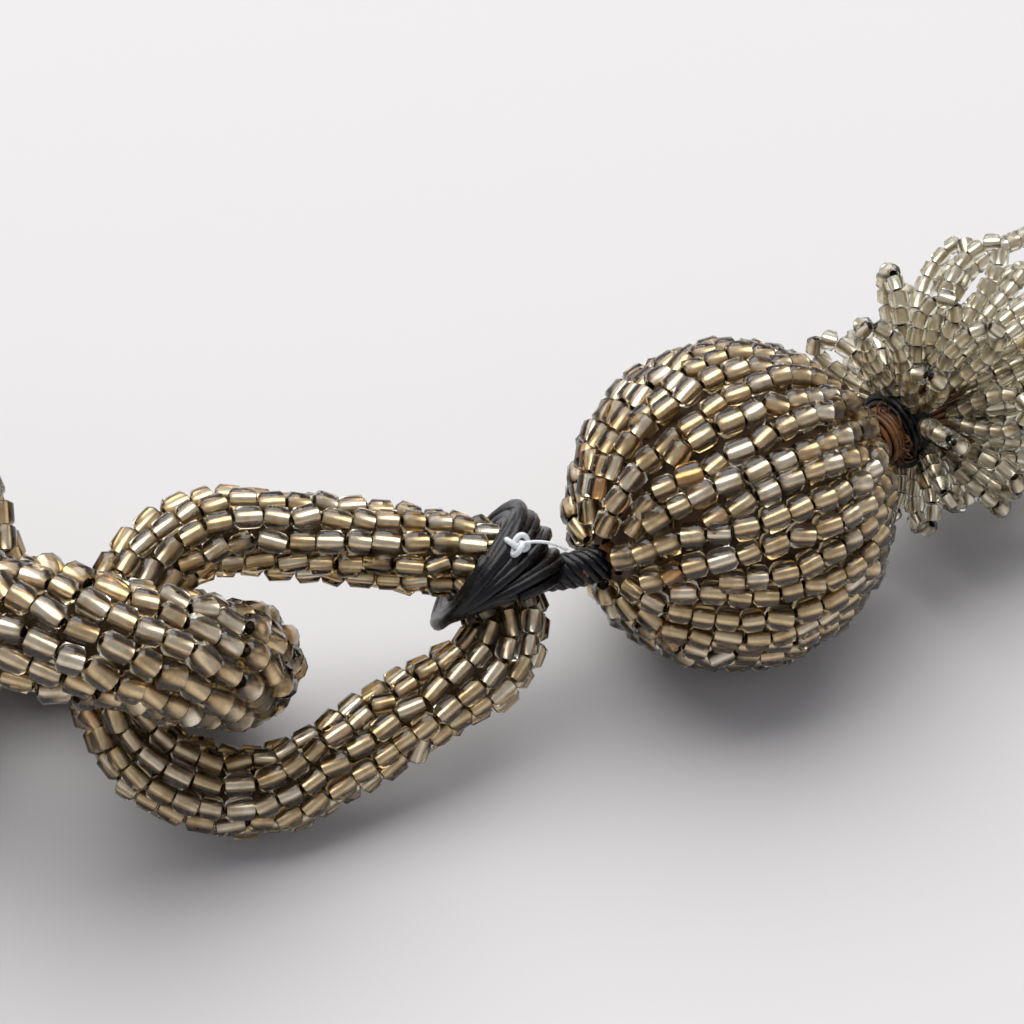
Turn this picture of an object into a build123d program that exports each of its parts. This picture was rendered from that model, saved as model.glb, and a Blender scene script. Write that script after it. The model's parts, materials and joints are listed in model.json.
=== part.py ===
from build123d import *
import os
from math import cos, pi, radians, sin, tan

# A beaded chain headband. Eleven thick oval links of bead-covered cord hang in one another. A slimmer
# pear-shaped loop closes each end, a beaded ball is lashed to its tip, and a tassel of bead strands is
# bound to the far side of the ball. The band lies in an open curve on a table, z = 0.
# Millimetres, +Z up, origin under the middle of the band. "Right" is the end that carries set 1.

# ---- rope sizes, measured over the glass beads ----
LINK_ROPE = 10.0            # thick rope of the links, diameter
LOOP_ROPE = 7.2             # slim rope of the end loops, diameter
LINK_BEAD_LAYER = 2.1       # height of a bead on the thick rope
LOOP_BEAD_LAYER = 1.8       # height of a bead on the slim rope
FIT = 0.05                  # play between a bead sleeve and what it covers

# ---- links: ovals, measured along the middle of the rope ----
LINK_COUNT = 11
LINK_BEND = 12.5            # radius of the two bends
LINK_STRAIGHT = 14.0        # straight run between the bends
LINK_LENGTH = LINK_STRAIGHT + 2 * LINK_BEND
LEAN = 49.0                 # each link leans this far from flat, its neighbours the other way
LINK_HEIGHT = LINK_ROPE / 2 + LINK_BEND * sin(radians(LEAN))

# ---- end loops: pear shapes, measured along the middle of the rope ----
LOOP_BEND = 10.2            # round end, which holds the last link
TIP_BEND = 5.2              # narrow end, which carries the ball
LOOP_SPAN = 15.9            # between the centres of the two bends
LOOP_LEAN = 45.0
LOOP_HEIGHT = 11.78         # of the loop's middle line
LASH_ANGLE = 30.0           # the lashing sits this far round the tip, towards the raised side

# ---- how the pieces follow one another, from the right end to the left ----
LINK_YAWS = [-16, -4, -12, -21, -31, -41, -51, -61, -71, -81, -91]
LOOP_YAWS = [16, -109]
LASH_YAWS = [3, -118]
BALL_YAWS = [31, -127]
TASSEL_YAWS = [38, -135]
PLAY = 12.0                 # middle of one bend to the middle of the bend that it holds
FIRST_PLAYS = {1: 16.0}
LOOP_PLAY = 9.8             # the same between an end loop and its link
BAND_SHIFT = (68.53, -115.27)

# ---- lashing, ball and tassel, along the ball's axis ----
LASH_WALL = 0.7
LASH_ARC = 38.0
BALL_RADIUS = 13.6          # over the beads
BALL_BEAD_LAYER = 2.1
BALL_REACH = 14.65          # from where the hanging cord bends to the middle of the ball
BORE_RADIUS = 1.6
MOUTH_RADIUS = 2.2          # opening of the bead skin at each pole
CORD_RADIUS = 1.2
SWING_REACH = 6.9           # from the middle of the lashed rope to where the hanging cord bends
STEM_RADIUS = 1.4           # bundle of threads from the lashing to the hanging cord
STEM_GAP = 1.0
POLE_GAP = 0.55
BINDING_LENGTH = 2.2
BINDING_RADIUS = 2.6
WRAP_LENGTH = 1.8
WRAP_RADIUS = 3.1
THREADS_LENGTH = 2.6
THREADS_RADIUS = 5.8
KNOT_RADIUS = 0.9

# ---- tassel strands ----
STRAND_COUNT = 7
STRAND_RADIUS = 0.85
STRAND_REACH = 49.0         # from the gathered threads to the furthest fold
FOLD_RADIUS = 2.3
DROOP = 7.0                 # the far end of the tassel sinks by this much
SPREAD = 0.25               # and spreads sideways by this share of its width
SETTLE = 0.58               # and settles by this share of its height
STRAND_START = 0.6          # first bead clear of the gathered threads
# one strand, out along the inside of the tassel and back along its outside: (along, off the axis)
STRAND_OUT = [(0.0, 2.6), (5.5, 3.0), (13.0, 4.3), (24.0, 4.5), (35.0, 5.2), (42.0, 4.9)]
STRAND_BACK = [(41.0, 9.9), (33.0, 10.6), (22.0, 10.4), (13.0, 10.9), (7.0, 9.7), (3.0, 7.0), (0.0, 4.8)]
ROSETTE_SECTION = (3.0, 5.0)
ROSETTE_RADIUS = 6.3

Z = Vector(0, 0, 1)


def heading(yaw, pitch=0.0):
    """The level direction at this yaw, or one tipped up by the pitch."""
    return Vector(cos(radians(yaw)) * cos(radians(pitch)), sin(radians(yaw)) * cos(radians(pitch)),
                  sin(radians(pitch)))


def leaning_plane(middle, yaw, lean):
    """The plane of a loop: x runs along the band to the right, and y leans up and back, or down and back."""
    along = heading(yaw)
    across = heading(yaw + 90) * cos(radians(lean)) + Z * sin(radians(lean))
    return Plane(origin=middle, x_dir=along, z_dir=along.cross(across))


def lay_out():
    """Walks along the band from the right end and returns the planes of its loops and the hinge points."""
    shift = Vector(*BAND_SHIFT, 0)
    hinge = Vector(0, 0, 0) + shift
    links, hinges = [], [hinge]
    for number, yaw in enumerate(LINK_YAWS):
        play = LOOP_PLAY if number == 0 else FIRST_PLAYS.get(number, PLAY)
        next_play = FIRST_PLAYS.get(number + 1, PLAY) if number < LINK_COUNT - 1 else LOOP_PLAY
        lean = LEAN if number % 2 else -LEAN
        right_bend = hinge + heading(yaw) * (play / 2)
        middle = right_bend - heading(yaw) * (LINK_LENGTH / 2)
        left_bend = right_bend - heading(yaw) * LINK_LENGTH
        hinge = left_bend + heading(yaw) * (next_play / 2)
        links.append(leaning_plane(middle + Z * LINK_HEIGHT, yaw, lean))
        hinges.append(hinge)
    ends = []
    for side, outward, at in ((0, 1, hinges[0]), (1, -1, hinges[-1])):
        yaw = LOOP_YAWS[side]
        bend_centre = at + heading(yaw) * outward * (LOOP_BEND - LOOP_PLAY / 2) + Z * LOOP_HEIGHT
        loop = leaning_plane(bend_centre, yaw, LOOP_LEAN)
        if outward < 0:
            loop = Plane(origin=bend_centre, x_dir=-loop.x_dir, z_dir=-loop.z_dir)
        ways = [heading(yaws[side]) * outward for yaws in (LASH_YAWS, BALL_YAWS, TASSEL_YAWS)]
        ends.append(end_set(loop, *ways))
    return links, hinges, ends


def end_set(loop, lash_way, ball_way, tassel_way):
    """The points and directions of one end: loop, lashing, ball and tassel."""
    lash = loop.from_local_coords((LOOP_SPAN + TIP_BEND * cos(radians(LASH_ANGLE)),
                                   TIP_BEND * sin(radians(LASH_ANGLE)), 0))
    swing = lash + lash_way * SWING_REACH
    ball = swing + ball_way * BALL_REACH
    pole = ball + ball_way * (BALL_RADIUS + POLE_GAP)
    return {"loop": loop, "lash": lash, "swing": swing, "ball": ball, "pole": pole,
            "lash_way": lash_way, "ball_way": ball_way, "tassel_way": tassel_way}


def save(piece, name):
    piece.part.label = name
    export_step(piece.part, f"parts/{name}.step")


def oval(plane):
    """The middle line of a link's rope."""
    with BuildSketch(plane) as outline:
        SlotOverall(LINK_LENGTH, 2 * LINK_BEND)
    return outline.sketch.face().outer_wire()


def pear(plane):
    """The middle line of an end loop's rope: two round ends joined by straight sides."""
    with BuildSketch(plane) as outline:
        Circle(LOOP_BEND)
        with Locations((LOOP_SPAN, 0)):
            Circle(TIP_BEND)
        make_hull()
    return outline.sketch.face().outer_wire()


def rope(line, radius, bore=0.0):
    """A round section carried once along a line, hollow if it has a bore."""
    with BuildPart() as made:
        with BuildSketch(Plane(origin=line @ 0, z_dir=line % 0)):
            Circle(radius)
            if bore:
                Circle(bore, mode=Mode.SUBTRACT)
        sweep(path=line)
    return made


def turned(start, way, outline):
    """A solid of revolution about an axis; the outline is (along, radius) pairs that close on the axis."""
    profile = Plane(origin=start, x_dir=way, z_dir=way.cross(Z))
    with BuildPart() as made:
        with BuildSketch(profile):
            with BuildLine():
                Polyline(*outline, close=True)
            make_face()
        revolve(axis=Axis(start, way))
    return made


def lashing(end):
    """Turns of thread round the tip of the loop, as a sleeve, and the stem that leads to the ball."""
    loop = end["loop"]
    tip = loop.from_local_coords((LOOP_SPAN, 0, 0))
    outward = (end["lash"] - tip).normalized()
    sleeve = (LASH_ARC, LOOP_ROPE / 2 + LASH_WALL, Mode.ADD)
    room_for_rope = (LASH_ARC + 40, LOOP_ROPE / 2 + FIT, Mode.SUBTRACT)
    with BuildPart() as made:
        with BuildSketch(Plane(origin=end["lash"], z_dir=end["lash_way"])):
            Circle(STEM_RADIUS)
        extrude(amount=SWING_REACH - STEM_GAP)
        for arc, radius, mode in (sleeve, room_for_rope):
            start = outward.rotate(Axis((0, 0, 0), loop.z_dir), -arc / 2)
            with BuildSketch(Plane(origin=tip + start * TIP_BEND, x_dir=start, z_dir=loop.z_dir.cross(start))):
                Circle(radius)
            revolve(axis=Axis(tip, loop.z_dir), revolution_arc=arc, mode=mode)
    return made


def ball_core(end):
    """A turned wooden ball with a bore for the hanging cord."""
    with BuildPart(Plane(origin=end["ball"], z_dir=end["ball_way"])) as made:
        Sphere(BALL_RADIUS - BALL_BEAD_LAYER - FIT)
        Cylinder(BORE_RADIUS, 2 * BALL_RADIUS, mode=Mode.SUBTRACT)
    return made


def ball_beads(end):
    """The skin of bead rows, open at both poles."""
    with BuildPart(Plane(origin=end["ball"], z_dir=end["ball_way"])) as made:
        Sphere(BALL_RADIUS)
        Sphere(BALL_RADIUS - BALL_BEAD_LAYER, mode=Mode.SUBTRACT)
        Cylinder(MOUTH_RADIUS, 2 * BALL_RADIUS + 1, mode=Mode.SUBTRACT)
    return made


def hanging_cord(end):
    """The cord that runs through the ball, from the lashing to the tassel."""
    length = BALL_REACH + BALL_RADIUS - 0.3
    with BuildPart() as made:
        with BuildSketch(Plane(origin=end["swing"], z_dir=end["ball_way"])):
            Circle(CORD_RADIUS)
        extrude(amount=length)
    return made


def nylon_knot(end):
    """The stub of nylon line that is tied off on top of the lashing."""
    tip = end["loop"].from_local_coords((LOOP_SPAN, 0, 0))
    rope_way = end["loop"].z_dir.cross(end["lash"] - tip).normalized()
    lean = (Z - rope_way * Z.dot(rope_way)).normalized()
    offset = LOOP_ROPE / 2 + LASH_WALL + KNOT_RADIUS + FIT
    with BuildPart(Plane(origin=end["lash"] + lean * offset)) as made:
        Sphere(KNOT_RADIUS)
    return made


def neck_binding(end):
    """Brown thread bound round the strands' threads next to the ball, narrower where it meets the ball."""
    outline = [(0, 0), (0, 1.4), (0.9, BINDING_RADIUS), (BINDING_LENGTH, BINDING_RADIUS), (BINDING_LENGTH, 0)]
    return turned(end["pole"], end["tassel_way"], outline)


def neck_wrap(end):
    """Black thread wound over the neck of the tassel."""
    start = end["pole"] + end["tassel_way"] * BINDING_LENGTH
    outline = [(0, 0), (0, WRAP_RADIUS - 0.4), (0.4, WRAP_RADIUS), (WRAP_LENGTH - 0.4, WRAP_RADIUS),
               (WRAP_LENGTH, WRAP_RADIUS - 0.4), (WRAP_LENGTH, 0)]
    return turned(start, end["tassel_way"], outline)


def tassel_threads(end):
    """Bare ends of the strands' threads, which fan out from the neck to the first beads."""
    start = end["pole"] + end["tassel_way"] * (BINDING_LENGTH + WRAP_LENGTH)
    outline = [(0, 0), (0, WRAP_RADIUS - 0.6), (THREADS_LENGTH, THREADS_RADIUS), (THREADS_LENGTH, 0)]
    return turned(start, end["tassel_way"], outline)


def rosette(end):
    """The short loops of beads that stand round the neck, as one soft ring."""
    depth, height = ROSETTE_SECTION
    start = end["pole"] + end["tassel_way"] * (depth / 2 + 0.5)
    section = Plane(origin=start + Z * ROSETTE_RADIUS, x_dir=end["tassel_way"],
                    z_dir=end["tassel_way"].cross(Z))
    with BuildPart() as made:
        with BuildSketch(section):
            Ellipse(depth / 2, height / 2)
        revolve(axis=Axis(start, end["tassel_way"]))
    return made


def strand_points(end, number):
    """The route of one strand: out, round a fold and back, spread round the tassel's axis by its number."""
    angle = radians(360 * (number + 0.25) / STRAND_COUNT)
    reach = STRAND_REACH - 2.5 * (number % 3)
    middle = (STRAND_OUT[-1][1] + STRAND_BACK[0][1]) / 2
    near, far = reach - FOLD_RADIUS * (1 - tan(radians(22.5))), reach
    fold = [(near, middle - FOLD_RADIUS), (far, middle - FOLD_RADIUS * tan(radians(22.5))),
            (far, middle + FOLD_RADIUS * tan(radians(22.5))), (near, middle + FOLD_RADIUS)]
    stretch = reach / STRAND_REACH
    flat = [(s * stretch, r) for s, r in STRAND_OUT] + fold + [(s * stretch, r) for s, r in STRAND_BACK]
    side = end["tassel_way"].cross(Z)
    start = end["pole"] + end["tassel_way"] * (BINDING_LENGTH + WRAP_LENGTH + THREADS_LENGTH + STRAND_START)
    points = []
    for along, off in flat:
        share = along / STRAND_REACH
        outward = side * cos(angle) * (1 + SPREAD * share) + Z * sin(angle) * (1 - SETTLE * share)
        outward = outward * middle + outward.normalized() * (off - middle)
        points.append(start + end["tassel_way"] * along + outward - Z * DROOP * share**2)
    return points


def corner_radii(points):
    """Each arc is as large as its two runs allow."""
    radii = []
    for before, corner, after in zip(points, points[1:], points[2:]):
        run_in, run_out = corner - before, after - corner
        half_turn = radians(run_in.get_angle(run_out)) / 2
        radii.append(0.45 * min(run_in.length, run_out.length) / tan(half_turn))
    return radii


def strand(end, number):
    """One looped strand of small beads, as a plain tube."""
    points = strand_points(end, number)
    radii = corner_radii(points)
    with BuildPart() as made:
        with BuildLine() as route:
            FilletPolyline(*points, radius=radii)
        line = route.wire()
        with BuildSketch(Plane(origin=line @ 0, z_dir=line % 0)):
            Circle(STRAND_RADIUS)
        sweep(path=line)
    length = line.length
    print(f"strand {number}: length {length:.1f}, radii {' '.join(f'{radius:.1f}' for radius in radii)},",
          f"volume {made.part.volume:.1f} of {length * pi * STRAND_RADIUS**2:.1f}")
    return made


def build():
    os.makedirs("parts", exist_ok=True)
    links, hinges, ends = lay_out()
    for number, plane in enumerate(links, 1):
        line = oval(plane)
        core_radius = LINK_ROPE / 2 - LINK_BEAD_LAYER
        save(rope(line, LINK_ROPE / 2, core_radius), f"link_{number:02d}_beads")
        save(rope(line, core_radius - FIT), f"link_{number:02d}_cord")
    for number, end in enumerate(ends, 1):
        line = pear(end["loop"])
        core_radius = LOOP_ROPE / 2 - LOOP_BEAD_LAYER
        save(rope(line, LOOP_ROPE / 2, core_radius), f"end_loop_{number}_beads")
        save(rope(line, core_radius - FIT), f"end_loop_{number}_cord")
        save(lashing(end), f"lashing_{number}")
        save(nylon_knot(end), f"nylon_knot_{number}")
        save(hanging_cord(end), f"hanging_cord_{number}")
        save(ball_core(end), f"ball_{number}_core")
        save(ball_beads(end), f"ball_{number}_beads")
        save(neck_binding(end), f"neck_binding_{number}")
        save(neck_wrap(end), f"neck_wrap_{number}")
        save(tassel_threads(end), f"tassel_{number}_threads")
        save(rosette(end), f"rosette_{number}")
        for turn in range(STRAND_COUNT):
            save(strand(end, turn), f"tassel_{number}_strand_{turn + 1}")


if __name__ == "__main__":
    build()
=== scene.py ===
# %% [markdown]
# # A beaded chain headband
# The band is a chain of rope links covered in silver-lined glass beads. A slimmer loop closes each
# end, and a beaded ball and a tassel of bead strands hang from it. Every piece is worked out in
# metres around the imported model, which already has the links, hinges and balls in their places.

# %% Load the frame
import json
from math import cos, pi, radians, sin, tan

import bpy
import numpy as np
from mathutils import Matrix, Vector


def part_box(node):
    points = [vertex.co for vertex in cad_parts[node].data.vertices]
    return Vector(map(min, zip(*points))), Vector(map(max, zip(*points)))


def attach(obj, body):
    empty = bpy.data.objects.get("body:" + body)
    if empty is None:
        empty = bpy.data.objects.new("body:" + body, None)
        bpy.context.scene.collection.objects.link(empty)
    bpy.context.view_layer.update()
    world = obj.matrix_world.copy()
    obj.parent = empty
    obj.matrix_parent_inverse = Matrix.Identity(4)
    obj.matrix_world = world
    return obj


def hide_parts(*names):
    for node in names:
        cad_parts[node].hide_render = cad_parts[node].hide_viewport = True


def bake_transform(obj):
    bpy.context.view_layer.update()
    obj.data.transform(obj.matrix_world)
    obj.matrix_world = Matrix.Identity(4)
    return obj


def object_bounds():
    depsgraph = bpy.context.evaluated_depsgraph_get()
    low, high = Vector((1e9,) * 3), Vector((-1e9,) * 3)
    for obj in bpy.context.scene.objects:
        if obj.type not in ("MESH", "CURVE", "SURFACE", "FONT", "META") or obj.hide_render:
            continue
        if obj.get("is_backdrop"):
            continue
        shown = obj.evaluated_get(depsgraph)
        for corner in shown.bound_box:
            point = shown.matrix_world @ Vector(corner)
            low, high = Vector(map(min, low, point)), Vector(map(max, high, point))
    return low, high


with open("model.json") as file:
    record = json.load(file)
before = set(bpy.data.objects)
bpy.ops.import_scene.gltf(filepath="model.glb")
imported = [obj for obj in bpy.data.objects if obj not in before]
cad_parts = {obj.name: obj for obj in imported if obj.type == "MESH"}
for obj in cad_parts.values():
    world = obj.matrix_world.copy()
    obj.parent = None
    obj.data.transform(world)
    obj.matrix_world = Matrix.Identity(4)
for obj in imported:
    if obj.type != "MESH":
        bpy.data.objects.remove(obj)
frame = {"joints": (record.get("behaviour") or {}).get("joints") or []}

CAD_LOW, CAD_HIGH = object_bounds()
CAD_BOX = [list(CAD_LOW), list(CAD_HIGH)]
MM = 0.001
JOINTS = {joint["name"]: joint for joint in frame["joints"]}
UP = np.array([0.0, 0.0, 1.0])
chance = np.random.default_rng(11)

# %% [markdown]
# ## Where things are
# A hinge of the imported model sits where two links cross, so the line between a link's two hinges
# gives the way the link points, and the middle of its box gives its centre. Only the lean of the
# links, the sizes of their rope and the shape and turn of the two end loops are repeated here.

# %% Sizes of the ropes and loops
LINK_COUNT = 11
# the hinges lead away from the middle link on both sides, so none has its name
ROOT_LINK = 6
LINK_ROPE = 10.0 * MM
LOOP_ROPE = 7.2 * MM
LINK_BEND = 12.5 * MM
# a link's far bend is equal to its near one but for a hair
LINK_FAR_BEND = LINK_BEND * 0.9999
LINK_STRAIGHT = 14.0 * MM
LOOP_BEND = 10.2 * MM
TIP_BEND = 5.2 * MM
LOOP_SPAN = 15.9 * MM
LOOP_HEIGHT = 11.78 * MM
LOOP_PLAY = 9.8 * MM
LASH_ANGLE = radians(30.0)
LEAN = radians(49.0)
LOOP_LEAN = radians(45.0)
LOOP_YAWS = [16, -109]
BALL_RADIUS = 13.6 * MM


def unit(vector):
    """The vector, or each row of a table of vectors, at length one."""
    return vector / np.linalg.norm(vector, axis=-1, keepdims=True)


def middle(node):
    """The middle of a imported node's box."""
    low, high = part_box(node)
    return (np.array(low) + np.array(high)) / 2


def hinge(name):
    return np.array(JOINTS[name]["pos_m"])


def leaning_axes(along, lean):
    """Three directions of a loop: along the band, across the loop's plane, and its normal."""
    back = np.cross(UP, along)
    across = back * cos(lean) + UP * sin(lean)
    return along, across, np.cross(along, across)


# the hinges from end loop 1 round to end loop 2
crossings = [hinge("end_loop_1_swing")]
crossings += [hinge(f"link_{k:02d}_swing") for k in range(1, LINK_COUNT + 1) if k != ROOT_LINK]
crossings += [hinge("end_loop_2_swing")]
print("crossings", len(crossings))

# %% Loops and their axes
LINKS = []
for number in range(LINK_COUNT):
    along = unit(crossings[number] - crossings[number + 1])
    lean = LEAN if number % 2 else -LEAN
    LINKS.append((middle(f"link_{number + 1:02d}_beads"), leaning_axes(along, lean)))

ENDS = []
for side, outward in ((0, 1), (1, -1)):
    yaw = radians(LOOP_YAWS[side])
    along = np.array([cos(yaw), sin(yaw), 0.0])
    axes = leaning_axes(along, LOOP_LEAN)
    if outward < 0:
        axes = (-axes[0], axes[1], -axes[2])
    hanging = crossings[0] if side == 0 else crossings[-1]
    centre = hanging + along * outward * (LOOP_BEND - LOOP_PLAY / 2) + UP * LOOP_HEIGHT
    tip = centre + axes[0] * LOOP_SPAN
    lash = tip + (axes[0] * cos(LASH_ANGLE) + axes[1] * sin(LASH_ANGLE)) * TIP_BEND
    pole = hinge(f"tassel_{side + 1}_swing")
    ENDS.append({
        "number": side + 1, "centre": centre, "axes": axes, "tip": tip, "lash": lash,
        "swing": hinge(f"ball_{side + 1}_swing"), "ball": middle(f"ball_{side + 1}_beads"),
        "ball_way": np.array(JOINTS[f"ball_{side + 1}_turn"]["axis"]), "pole": pole,
        "tassel_way": unit(middle(f"neck_wrap_{side + 1}") - pole)})
print("ball 1 at", ENDS[0]["ball"].round(4), "ball 2 at", ENDS[1]["ball"].round(4))

# %% [markdown]
# ## Camera
# The band is seen from close by, at 45 degrees above the table, looking along +Y. The camera aims
# a little to the left of ball 1, so that the end loop and the last links lead into the view.

# %% Camera
VIEW_LIFT = radians(45.0)
DISTANCE = 0.210
LENS = 91.0
AIM = np.array([-17.7 * MM, -0.4 * MM, -0.4 * MM])

back = np.array([0.0, -cos(VIEW_LIFT), sin(VIEW_LIFT)])
target = ENDS[0]["ball"] + AIM
camera_data = bpy.data.cameras.new("camera")
camera = bpy.data.objects.new("camera", camera_data)
bpy.context.scene.collection.objects.link(camera)
camera.location = Vector(target + back * DISTANCE)
camera.rotation_mode = "QUATERNION"
camera.rotation_quaternion = Vector(-back).to_track_quat("-Z", "Y")
camera_data.lens = LENS
camera_data.clip_start = 0.01
bpy.context.scene.camera = camera
print("camera at", np.array(camera.location).round(3))

# %% [markdown]
# ## One bead
# A seed bead is a short piece cut from a glass tube and tumbled until its rims are round. This
# one is lined with silver, which shows through the glass as a bright bar. So a bead is two
# surfaces of revolution: a glass barrel with a bore, and a metal rod inside the glass that stands
# for the lining, with dark thread at its two ends.

# %% Two templates
BEAD_SIDES = 10
# along the axis in half lengths, and out from it in half widths, round the glass and back
GLASS_PROFILE = np.array([(-0.98, 0.54), (-0.68, 1.0), (0.68, 1.0), (0.98, 0.54),
                          (0.92, 0.36), (-0.92, 0.36)])
GLASS_NORMALS = np.array([(-0.8, 0.6), (-0.26, 0.97), (0.26, 0.97), (0.8, 0.6), (0.8, -0.6), (-0.8, -0.6)])
LINING_REACH = 0.86
LINING_RADIUS = 0.4


def turned_template(profile, slopes, sides):
    """A profile turned round the z axis: x and y are the radius times cosine and sine of the turn.

    Returns points, normals and quads of a closed ring.
    """
    turn = np.arange(sides) * 2 * pi / sides
    ring = np.stack([np.cos(turn), np.sin(turn)], 1)
    points = np.concatenate([profile[:, None, 1:] * ring, np.repeat(profile[:, None, :1], sides, 1)], 2)
    slopes = unit(slopes)
    normals = np.concatenate([slopes[:, None, 1:] * ring, np.repeat(slopes[:, None, :1], sides, 1)], 2)
    row, side = np.meshgrid(np.arange(len(profile)), np.arange(sides), indexing="ij")
    corner = lambda i, j: (i % len(profile)) * sides + j % sides
    quads = np.stack([corner(row, side), corner(row, side + 1), corner(row + 1, side + 1),
                      corner(row + 1, side)], -1)
    return points.reshape(-1, 3), normals.reshape(-1, 3), quads.reshape(-1, 4)


GLASS = turned_template(GLASS_PROFILE, GLASS_NORMALS, BEAD_SIDES)
print("glass template", len(GLASS[0]), "points", len(GLASS[2]), "faces")

# %% [markdown]
# ## Stringing beads
# Thousands of beads are only one template, moved, turned and sized once per bead, all in whole
# arrays. Each bead gets its own tone, which its glass reads as an attribute, so no two look alike.

# %% Mesh helpers
def new_mesh(name, points, faces, materials, normals=None, face_materials=None, smooth=True):
    """Puts arrays of points and equal-sided faces into a mesh object of the scene."""
    mesh = bpy.data.meshes.new(name)
    corners = faces.shape[1]
    mesh.vertices.add(len(points))
    mesh.vertices.foreach_set("co", points.astype(np.float32).ravel())
    mesh.loops.add(faces.size)
    mesh.loops.foreach_set("vertex_index", faces.astype(np.int32).ravel())
    mesh.polygons.add(len(faces))
    mesh.polygons.foreach_set("loop_start", np.arange(0, faces.size, corners, dtype=np.int32))
    for material in materials:
        mesh.materials.append(material)
    if face_materials is not None:
        mesh.polygons.foreach_set("material_index", face_materials.astype(np.int32))
    mesh.update(calc_edges=True)
    mesh.validate()
    mesh.polygons.foreach_set("use_smooth", np.full(len(faces), smooth))
    if normals is not None:
        mesh.normals_split_custom_set_from_vertices(normals.astype(np.float32).tolist())
    piece = bpy.data.objects.new(name, mesh)
    bpy.context.scene.collection.objects.link(piece)
    return piece


def point_values(piece, name, values):
    """Stores one number per point under a name that a material can read."""
    attribute = piece.data.attributes.new(name, "FLOAT", "POINT")
    attribute.data.foreach_set("value", values.astype(np.float32))


def placed(template, beads):
    """Every bead's point is centre + out * x * half width + side * y * half width + along * z * half length.

    Normals are turned the same way, and each bead's faces count on from the last bead's.
    """
    points, normals, faces = template
    frame_axes = np.stack([beads["out"], beads["side"], beads["along"]], 1)
    sizes = np.stack([beads["width"] / 2, beads["width"] / 2, beads["length"] / 2], 1)
    world = np.einsum("nk,pk,nkc->npc", sizes, points, frame_axes) + beads["centre"][:, None]
    turned = np.einsum("pk,nkc->npc", normals, frame_axes)
    count = len(world)
    every = faces[None] + (np.arange(count) * len(points))[:, None, None]
    return world.reshape(-1, 3), turned.reshape(-1, 3), every.reshape(-1, faces.shape[1])


def lining_template(sides):
    """A closed rod: two rings of points with a wall between them, and a fan of quads over each end."""
    turn = np.arange(sides) * 2 * pi / sides
    ring = np.stack([np.cos(turn), np.sin(turn)], 1)
    points = [np.column_stack([ring * LINING_RADIUS, np.full(sides, reach)])
              for reach in (-LINING_REACH, LINING_REACH)]
    normals = np.column_stack([ring, np.zeros(sides)])
    side = np.arange(sides)
    after = (side + 1) % sides
    wall = np.stack([side, after, after + sides, side + sides], 1)
    step = np.arange(1, sides - 1, 2)
    top = np.stack([0 * step, step, step + 1, step + 2], 1) + sides
    bottom = np.stack([0 * step, step + 2, step + 1, step], 1)
    return np.concatenate(points), np.concatenate([normals] * 2), np.concatenate([wall, top, bottom])


LINING_SIDES = 8
LINING = lining_template(LINING_SIDES)
# the last faces of each rod, over its two ends, are thread and not metal
LINING_FACES = np.repeat([0, 1], [LINING_SIDES, len(LINING[2]) - LINING_SIDES])
print("lining template", len(LINING[0]), "points", len(LINING[2]), "faces")


# %% [markdown]
# ## Materials
# Silver-lined glass is three finishes that are seen together: a smoky tinted glass, a slightly
# tarnished metal behind it, and dark thread in the gaps. The tint of the glass changes from bead
# to bead, as it does in one bag of old beads, so one group of nodes turns a bead's tone into its
# colour and every glass uses it with its own three tints.

# %% Node helpers
def node_material(name):
    """A new material, its tree and its Principled shader."""
    material = bpy.data.materials.new(name)
    material.use_nodes = True
    return material, material.node_tree, material.node_tree.nodes["Principled BSDF"]


def add(tree, kind, **settings):
    """Adds a node; a setting whose name is a socket is written to that socket."""
    node = tree.nodes.new(kind)
    for key, value in settings.items():
        if key in node.inputs:
            node.inputs[key].default_value = value
        else:
            setattr(node, key, value)
    return node


def new_group(name, inputs, outputs):
    """A shader node group with named sockets, given as (name, kind, value) and (name, kind)."""
    group = bpy.data.node_groups.new(name, "ShaderNodeTree")
    for label, kind, value in inputs:
        socket = group.interface.new_socket(label, in_out="INPUT", socket_type=kind)
        if value is not None:
            socket.default_value = value
    for label, kind in outputs:
        group.interface.new_socket(label, in_out="OUTPUT", socket_type=kind)
    return group, group.nodes.new("NodeGroupInput"), group.nodes.new("NodeGroupOutput")


# %% Bead tone group
def make_tone_group():
    """Picks one of three tints by a bead's tone: most beads are plain, some are pale, and a few are amber."""
    group, inside, outside = new_group(
        "bead tone",
        [("Plain", "NodeSocketColor", None), ("Pale", "NodeSocketColor", None),
         ("Amber", "NodeSocketColor", None)],
        [("Color", "NodeSocketColor")])
    tone = add(group, "ShaderNodeAttribute", attribute_name="tone")
    pale_share = add(group, "ShaderNodeMapRange", **{"From Min": 0.45, "From Max": 0.9})
    amber_share = add(group, "ShaderNodeMapRange", **{"From Min": 0.965, "From Max": 0.99})
    to_pale = add(group, "ShaderNodeMix", data_type="RGBA")
    to_amber = add(group, "ShaderNodeMix", data_type="RGBA")
    link = group.links.new
    link(tone.outputs["Fac"], pale_share.inputs["Value"])
    link(tone.outputs["Fac"], amber_share.inputs["Value"])
    link(pale_share.outputs["Result"], to_pale.inputs["Factor"])
    link(inside.outputs["Plain"], to_pale.inputs[6])
    link(inside.outputs["Pale"], to_pale.inputs[7])
    link(amber_share.outputs["Result"], to_amber.inputs["Factor"])
    link(to_pale.outputs[2], to_amber.inputs[6])
    link(inside.outputs["Amber"], to_amber.inputs[7])
    link(to_amber.outputs[2], outside.inputs["Color"])
    return group


TONE_GROUP = make_tone_group()


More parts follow.
